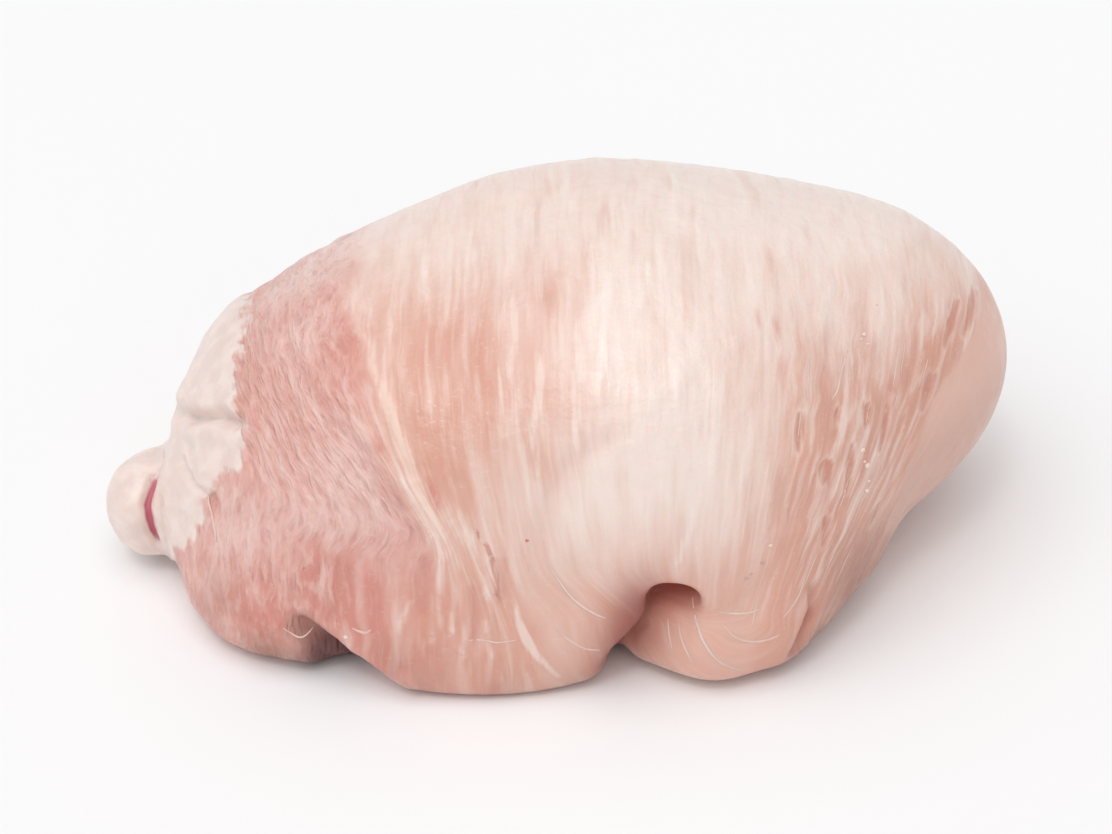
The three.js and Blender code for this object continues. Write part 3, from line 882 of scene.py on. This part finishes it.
def loose_paths(count, steps, radius, across, upward, before_y, above_z, rng, body):
    """Paths that follow the fibres from random places on a part of the surface, with their radii."""
    far = fibre_place(body)
    high = body @ np.array(UP_AND_BACK)
    inside = (far > across[0]) & (far < across[1]) & (high > upward[0]) & (high < upward[1])
    inside &= (body[:, 1] < before_y) & (body[:, 2] > above_z)
    spots = body[rng.choice(np.flatnonzero(inside), count, replace=False)]
    paths = [spots]
    for _ in range(steps[1]):
        rise = [(fibre_place(spots + PROBE * axis) - fibre_place(spots)) / PROBE for axis in np.eye(3)]
        along = np.cross(field_slope(spots), np.array(rise).T)
        along *= np.sign(along[:, 2:]) / np.linalg.norm(along, axis=1, keepdims=True)
        spots = settle(spots - THREAD_STEP * along)
        paths.append(spots)
    paths = np.array(paths)
    lengths = rng.integers(steps[0], steps[1], count)
    radii = rng.uniform(*radius, count)
    return [(radii[k], paths[: lengths[k], k]) for k in range(count)]


def thread_mesh(threads):
    """Thin flat threads along paths (radius, points) that lie on the surface, tapered at both ends."""
    net = bmesh.new()
    turns = np.linspace(0, 2 * math.pi, THREAD_SIDES, endpoint=False)
    for radius, points in threads:
        path, out = on_surface(points)
        forward = np.gradient(path, axis=0)
        side = np.cross(forward, out)
        side /= np.linalg.norm(side, axis=1, keepdims=True)
        width = radius * np.sin(np.linspace(*THREAD_TAPER, len(path)) * math.pi) ** THREAD_FULLNESS
        rings = []
        for place, up, aside, wide in zip(path, out, side, width):
            ring = [place + wide * (math.cos(t) * aside + THREAD_FLAT * math.sin(t) * up) for t in turns]
            rings.append([net.verts.new((corner - MIDDLE) * METRES) for corner in ring])
        for first, second in zip(rings, rings[1:]):
            for k in range(THREAD_SIDES):
                after = (k + 1) % THREAD_SIDES
                net.faces.new([first[k], first[after], second[after], second[k]])
        net.faces.new(rings[0][::-1])
        net.faces.new(rings[-1])
    bmesh.ops.triangulate(net, faces=net.faces)
    bmesh.ops.recalc_face_normals(net, faces=net.faces)
    mesh = bpy.data.meshes.new("tissue_threads")
    net.to_mesh(mesh)
    net.free()
    return mesh


def speck_mesh(name, specks, flat):
    """Small uneven lumps half sunk into the surface at (x, y, z, radius)."""
    net = bmesh.new()
    spots, out = on_surface(np.array(specks)[:, :3])
    for place, up, speck in zip(spots, out, specks):
        lump = bmesh.ops.create_icosphere(net, subdivisions=SPECK_DIVISIONS, radius=1)["verts"]
        turn = Vector(up).to_track_quat("Z", "Y")
        for corner in lump:
            swell = 1 + SPECK_UNEVEN * noise.noise(corner.co * SPECK_LUMPS + Vector(place))
            local = Vector((corner.co.x, corner.co.y * SPECK_NARROW, corner.co.z * flat)) * swell * speck[3]
            corner.co = (turn @ local + Vector(place - MIDDLE)) * METRES
    mesh = bpy.data.meshes.new(name)
    net.to_mesh(mesh)
    net.free()
    return mesh


# The curve from a screen's values to the shader's: straight up to a knee, and a power above it.
SCREEN_WHITE = 255
KNEE = 0.04045
KNEE_SLOPE = 12.92
CURVE_SHIFT = 0.055
CURVE_POWER = 2.4


def linear(red, green, blue):
    """A colour as the shader takes it, from its values of 0 to 255 on a screen."""
    shares = np.array([red, green, blue]) / SCREEN_WHITE
    curved = ((shares + CURVE_SHIFT) / (1 + CURVE_SHIFT)) ** CURVE_POWER
    return (*np.where(shares <= KNEE, shares / KNEE_SLOPE, curved).tolist(), 1)


# The values between which most of a noise lies, and how far a noise moves the edges of these marks.
MOST_OF_NOISE = (0.3, 0.7)
FRAYED_BY = dict(pale=0.05, red=0.12, windows=-0.9, whites=-0.5, tendon=-0.9, strip=-0.3, flap_shade=0.3)


class Shader:
    """Adds nodes to a material. An input is a plain value or another node's output."""

    def __init__(self, name):
        self.material = bpy.data.materials.new(name)
        self.material.use_nodes = True
        self.tree = self.material.node_tree
        self.surface = self.tree.nodes["Principled BSDF"]

    def set(self, socket, value):
        if isinstance(value, bpy.types.NodeSocket):
            self.tree.links.new(value, socket)
        else:
            socket.default_value = value

    def put(self, kind, inputs, **settings):
        node = self.tree.nodes.new(kind)
        for name, value in settings.items():
            setattr(node, name, value)
        for name, value in inputs.items():
            self.set(node.inputs[name], value)
        return node

    def finish(self, **inputs):
        for name, value in inputs.items():
            self.set(self.surface.inputs[name.replace("_", " ")], value)
        return self.material

    def mark(self, name):
        return self.put("ShaderNodeAttribute", {}, attribute_name=name).outputs["Fac"]

    def place(self, name):
        return self.put("ShaderNodeAttribute", {}, attribute_name=name).outputs["Vector"]

    def own_place(self):
        return self.put("ShaderNodeTexCoord", {}).outputs["Object"]

    def math(self, operation, a, b=0.0):
        return self.put("ShaderNodeMath", {0: a, 1: b}, operation=operation).outputs[0]

    def rest(self, value):
        return self.math("SUBTRACT", 1.0, value)

    def add(self, a, b):
        return self.math("ADD", a, b)

    def times(self, a, b):
        return self.math("MULTIPLY", a, b)

    def span(self, value, start, end, low=0.0, high=1.0):
        """Goes smoothly from low to high while value goes from start to end."""
        inputs = {"Value": value, "From Min": start, "From Max": end, "To Min": low, "To Max": high}
        return self.put("ShaderNodeMapRange", inputs, interpolation_type="SMOOTHSTEP").outputs["Result"]

    def vary(self, value, low, high):
        """Goes from low to high with a noise."""
        return self.span(value, *MOST_OF_NOISE, low, high)

    def frayed(self, name, value):
        """A mark whose edges a noise moves to and fro."""
        return self.add(self.mark(name), self.vary(value, -FRAYED_BY[name], FRAYED_BY[name]))

    def product(self, *factors):
        """Some values multiplied. A tuple is a value with its start, end, low and high."""
        shares = [self.span(*factor) if isinstance(factor, tuple) else factor for factor in factors]
        return functools.reduce(self.times, shares)

    def level(self, value):
        """The value kept between 0 and 1."""
        return self.put("ShaderNodeClamp", {"Value": value}).outputs["Result"]

    def mix(self, share, a, b):
        return self.put("ShaderNodeMix", {0: share, 6: a, 7: b}, data_type="RGBA").outputs[2]

    def noise(self, place, sizes, detail=2.0):
        """Noise of 0 to 1 with lumps of the given sizes along the three axes of a place."""
        shares = [1 / size for size in sizes]
        scaled = self.put("ShaderNodeVectorMath", {0: place, 1: shares}, operation="MULTIPLY")
        inputs = {"Vector": scaled.outputs[0], "Scale": 1.0, "Detail": detail}
        return self.put("ShaderNodeTexNoise", inputs).outputs["Fac"]


# Colours of the flesh and of the paper, as they are on a screen. The milky tone is a painted sheen; the
# shade, throat, leg and nick tones are painted shade, and the crease tone is painted shade in creases and the
# tint of the salmon streaks.
PALE = linear(243, 225, 216)
SALMON = linear(228, 185, 169)
ORANGE = linear(217, 159, 139)
MAUVE = linear(224, 169, 158)
MILKY_SHEEN = linear(237, 205, 197)
REDDISH = linear(211, 136, 123)
DEEP = linear(208, 153, 136)
CREASE_SHADE_AND_STREAKS = linear(200, 132, 122)
ISLAND = linear(203, 134, 112)
SHADE = linear(170, 116, 99)
TISSUE = linear(248, 234, 226)
CREAM = linear(243, 217, 203)
VEIL = linear(229, 193, 181)
THREAD = linear(234, 205, 194)
FAT = linear(231, 210, 202)
SLIT_COLOUR = linear(194, 96, 114)
THROAT_SHADE = linear(212, 140, 126)
LEG_SHADE = linear(134, 46, 36)
NICK_SHADOW = linear(92, 36, 34)
BLOOD = linear(190, 60, 56)
VEIN = linear(206, 162, 156)
PAPER = linear(245, 245, 246)
PAPER_LIGHT = linear(248, 248, 249)

# What makes the fibres fainter: wrinkles and the pale haze.
WRINKLED_PLAIN = 0.7
PALE_PLAIN = 0.5

# The ragged edge of the fat: where it begins and is full, and how far two noises move it. How white the
# fat is by its mottle, and how strong the painted sheen on the antrum is.
FAT_SHOWS = (-1.3, 1.1)
FAT_RAGS = (0.25, 0.75, -1.8, 1.8)
FAT_FRINGE = (-0.6, 0.6)
FAT_WHITE = (0.35, 0.7, 0.0, 0.5)
MILKY_SHEEN_SHARE = 0.64

# How rough the moist surfaces are where their mottle is low and high, and how it tints two of them.
FLESH_ROUGHNESS = (0.3, 0.46)
TISSUE_ROUGHNESS = (0.3, 0.45)
SPECK_ROUGHNESS = (0.28, 0.45)
SPECK_CREAM = (0.0, 0.35)
TISSUE_TONES = (0.35, 0.65)


def flesh_material():
    """Moist raw flesh: pale haze and white fibres over pink, mauve at one end, fat on the collar."""
    s = Shader("raw_flesh")
    grain = s.place("grain")
    lines = s.noise(grain, sizes=(1.7, 16, 16))
    wrinkles = s.noise(grain, sizes=(1.7, 5.4, 5.4))
    threads = s.noise(grain, sizes=(2.4, 30, 30), detail=1.0)
    glint_ticks = s.noise(grain, sizes=(2.6, 1.1, 1.1), detail=1.0)
    mottle = s.noise(s.own_place(), sizes=(0.006, 0.006, 0.006), detail=4.0)

    antrum, wrinkled, fibrous, bands = [s.mark(name) for name in ("antrum", "wrinkled", "fibrous", "bands")]
    pale = s.level(s.frayed("pale", lines))
    plain = s.math("MAXIMUM", s.times(wrinkled, WRINKLED_PLAIN), s.times(pale, PALE_PLAIN))
    fibres = s.times(s.times(fibrous, s.rest(plain)), s.add(s.mark("veil"), 1.0))
    off_antrum = s.times(fibrous, s.rest(antrum))
    windows = s.frayed("windows", lines)
    ragged = s.add(s.span(mottle, *FAT_RAGS), s.vary(lines, *FAT_FRINGE))
    fat = s.span(s.add(s.mark("fat"), ragged), *FAT_SHOWS)
    # The antrum's mauve under a painted sheen.
    antrum_with_sheen = s.mix(s.times(s.mark("milky_sheen"), MILKY_SHEEN_SHARE), MAUVE, MILKY_SHEEN)
    fat_colour = s.mix(s.span(mottle, *FAT_WHITE), FAT, TISSUE)

    # The layers of colour from the bottom up. Each has its colour and what it shows by: a mark, a share,
    # or a mark or noise with the values where it begins and is full, and the shares that it has there.
    layers = [
        (PALE, pale),
        (REDDISH, s.mark("threads"), (lines, 0.4, 0.6, 0.1, 0.6)),
        (antrum_with_sheen, antrum),
        (REDDISH, (s.frayed("red", mottle), 0.05, 0.9, 0.0, 0.85)),
        (ORANGE, s.mark("tan"), 0.85),
        (PALE, (bands, 0.1, 0.8, 0.0, 0.35)),
        (DEEP, (bands, -0.1, -0.8, 0.0, 0.4), (pale, 0.0, 1.0, 1.0, 0.5)),
        # Painted sheen on the ridges of the wrinkles, and painted shade in their creases.
        (MILKY_SHEEN, (wrinkles, 0.48, 0.7, 0.0, 0.4), wrinkled),
        (CREASE_SHADE_AND_STREAKS, (wrinkles, 0.46, 0.28, 0.0, 0.46), wrinkled),
        (TISSUE, s.mark("strokes"), (mottle, 0.3, 0.7, 0.3, 0.6), (lines, 0.35, 0.65, 0.4, 1.3)),
        (PALE, (windows, 2.2, 0.8, 0.0, 0.2)),
        (ISLAND, (windows, 0.7, -0.7, 0.0, 0.75)),
        (TISSUE, (threads, 0.58, 0.7, 0.0, 0.25), off_antrum),
        (TISSUE, (s.frayed("whites", lines), 1.1, -0.1, 0.0, 0.4)),
        # Painted glints: short white ticks across the fibres.
        (TISSUE, (glint_ticks, 0.62, 0.78, 0.0, 0.22), s.mark("glinting")),
        (TISSUE, (lines, 0.5, 0.75, 0.0, 0.2), fibres),
        (DEEP, (lines, 0.5, 0.25, 0.0, 0.15), fibres),
        (CREAM, (s.frayed("tendon", lines), 1.4, -1.0, 0.0, 1.0), (mottle, 0.3, 0.7, 0.35, 0.75)),
        (TISSUE, (s.frayed("strip", lines), 0.7, -0.5, 0.0, 0.55)),
        # Painted shade from here to the nick: low places, creases, the flap's edge, the recess under the
        # arch, the leg's edge and the nick. The crease tone also tints the salmon streaks.
        (SHADE, s.mark("shaded"), 0.9),
        (CREASE_SHADE_AND_STREAKS, s.mark("crease_shade_and_streaks")),
        (CREASE_SHADE_AND_STREAKS, (s.frayed("flap_shade", lines), 1.0, 0.3, 0.0, 0.7)),
        (THROAT_SHADE, s.mark("throat")),
        (LEG_SHADE, s.mark("leg_edge_shade"), 0.85),
        (NICK_SHADOW, s.mark("nick"), 0.95),
        (fat_colour, fat),
        (SLIT_COLOUR, (s.mark("slit"), 0.6, -0.1, 0.0, 1.0)),
    ]
    colour = s.mix(s.mark("orange"), SALMON, ORANGE)
    for tint, *factors in layers:
        colour = s.mix(s.product(*factors), colour, tint)

    # The fine bumps, in the same way but in millimetres.
    ridges = s.product((lines, 0.2, 0.8, 0.0, 0.12), fibres)
    folds = s.product((wrinkles, 0.2, 0.8, 0.0, 0.7), wrinkled)
    flesh_height = s.times(s.add(ridges, folds), s.rest(fat))
    height = s.add(flesh_height, s.product((mottle, 0.2, 0.8, 0.0, 0.34)))
    bump = s.put("ShaderNodeBump", {"Height": height, "Distance": METRES, "Strength": 1.0})
    return s.finish(
        Base_Color=colour,
        Roughness=s.vary(mottle, *FLESH_ROUGHNESS),
        Normal=bump.outputs["Normal"],
        Subsurface_Weight=0.3,
        Subsurface_Radius=(1.0, 0.4, 0.25),
        Subsurface_Scale=0.0035,
        Specular_IOR_Level=0.5,
        Coat_Weight=0.2,
        Coat_Roughness=0.2,
        Coat_Normal=bump.outputs["Normal"],
    )


def tissue_material():
    """Moist white connective tissue, a little uneven in tone."""
    s = Shader("white_tissue")
    mottle = s.noise(s.own_place(), sizes=(0.004, 0.004, 0.004))
    colour = s.mix(s.span(mottle, *TISSUE_TONES), VEIL, THREAD)
    return s.finish(Base_Color=colour, Roughness=s.vary(mottle, *TISSUE_ROUGHNESS))


def speck_material(name, colour):
    """A moist speck of one tone, lighter in places by its own mottle."""
    s = Shader(name)
    mottle = s.noise(s.own_place(), sizes=(0.0008, 0.0008, 0.0008))
    shade = s.mix(s.vary(mottle, *SPECK_CREAM), colour, CREAM)
    return s.finish(Base_Color=shade, Roughness=s.vary(mottle, *SPECK_ROUGHNESS))


def floor_material():
    """Plain pale studio paper."""
    s = Shader("pale_paper")
    mottle = s.noise(s.own_place(), sizes=(0.4, 0.4, 0.4))
    return s.finish(Base_Color=s.mix(mottle, PAPER, PAPER_LIGHT), Roughness=0.7)


FLOOR_SIDE = 8.0


def add_floor():
    """A large pale floor that the piece lies on."""
    half = FLOOR_SIDE / 2
    corners = [(-half, -half, 0), (half, -half, 0), (half, half, 0), (-half, half, 0)]
    mesh = bpy.data.meshes.new("floor")
    mesh.from_pydata(corners, [], [(0, 1, 2, 3)])
    mesh.materials.append(floor_material())
    floor = bpy.data.objects.new("floor", mesh)
    bpy.context.scene.collection.objects.link(floor)


# The photograph's camera, in millimetres and degrees.
CAMERA_AIM = (0, 0, 45)
CAMERA_DISTANCE = 761
CAMERA_ELEVATION = 35
LENS = 85
SENSOR_WIDTH = 36


def add_camera():
    """The camera at the photograph's viewing angle."""
    tilt = math.radians(CAMERA_ELEVATION)
    back = Vector((0, -math.cos(tilt), math.sin(tilt)))
    data = bpy.data.cameras.new("camera")
    data.lens = LENS
    data.sensor_width = SENSOR_WIDTH
    camera = bpy.data.objects.new("camera", data)
    aim = Vector((np.array(CAMERA_AIM) - MIDDLE) * METRES)
    camera.location = aim + back * CAMERA_DISTANCE * METRES
    camera.rotation_euler = (-back).to_track_quat("-Z", "Y").to_euler()
    bpy.context.scene.collection.objects.link(camera)
    bpy.context.scene.camera = camera


# The lights: a wide soft one and a smaller one that makes the moist glints, and pale surroundings.
WORLD_STRENGTH = 0.58
LIGHTS = [
    dict(name="soft_box", towards=(-0.25, -0.25, 1.0), wide=70, strength=1.31),
    dict(name="glint_box", towards=(-0.2, -0.45, 1.0), wide=12, strength=0.26),
]


def add_lights():
    """Soft studio light from above, and a pale world all round."""
    world = bpy.data.worlds.new("pale_room")
    world.use_nodes = True
    world.node_tree.nodes["Background"].inputs["Color"].default_value = (1, 1, 1, 1)
    world.node_tree.nodes["Background"].inputs["Strength"].default_value = WORLD_STRENGTH
    bpy.context.scene.world = world
    for lamp in LIGHTS:
        data = bpy.data.lights.new(lamp["name"], "SUN")
        data.angle = math.radians(lamp["wide"])
        data.energy = lamp["strength"]
        light = bpy.data.objects.new(lamp["name"], data)
        light.rotation_euler = (-Vector(lamp["towards"])).to_track_quat("-Z", "Y").to_euler()
        bpy.context.scene.collection.objects.link(light)


# The pieces made of specks: where they lie, how flat they are, and their material.
SPECK_PIECES = [
    dict(name="fat_crumbs", specks=FAT_CRUMBS, flat=0.6, material="cream_fat", colour=CREAM),
    dict(name="blood_specks", specks=BLOOD_SPECKS, flat=0.25, material="dark_blood", colour=BLOOD),
    dict(name="vein_specks", specks=VEIN_SPECKS, flat=0.2, material="pale_vein", colour=VEIN),
]


def dress():
    """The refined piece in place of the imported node, with the threads and specks on it."""
    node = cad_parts[NODE]
    flesh = new_piece("stomach_flesh", refined_mesh(node), flesh_material())
    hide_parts(NODE)
    body = settle(np.array([corner.co for corner in node.data.vertices]) / METRES + MIDDLE)
    rng = np.random.default_rng(THREAD_SEED)
    threads = [(radius, smooth_curve(points)) for radius, points in THREADS]
    threads += loose_paths(**LOOSE_THREADS, rng=rng, body=body)
    new_piece("tissue_threads", thread_mesh(threads), tissue_material())
    for kind in SPECK_PIECES:
        mesh = speck_mesh(kind["name"], kind["specks"], kind["flat"])
        new_piece(kind["name"], mesh, speck_material(kind["material"], kind["colour"]))


dress()
add_floor()
add_lights()
add_camera()
bpy.context.scene.view_settings.view_transform = "Standard"
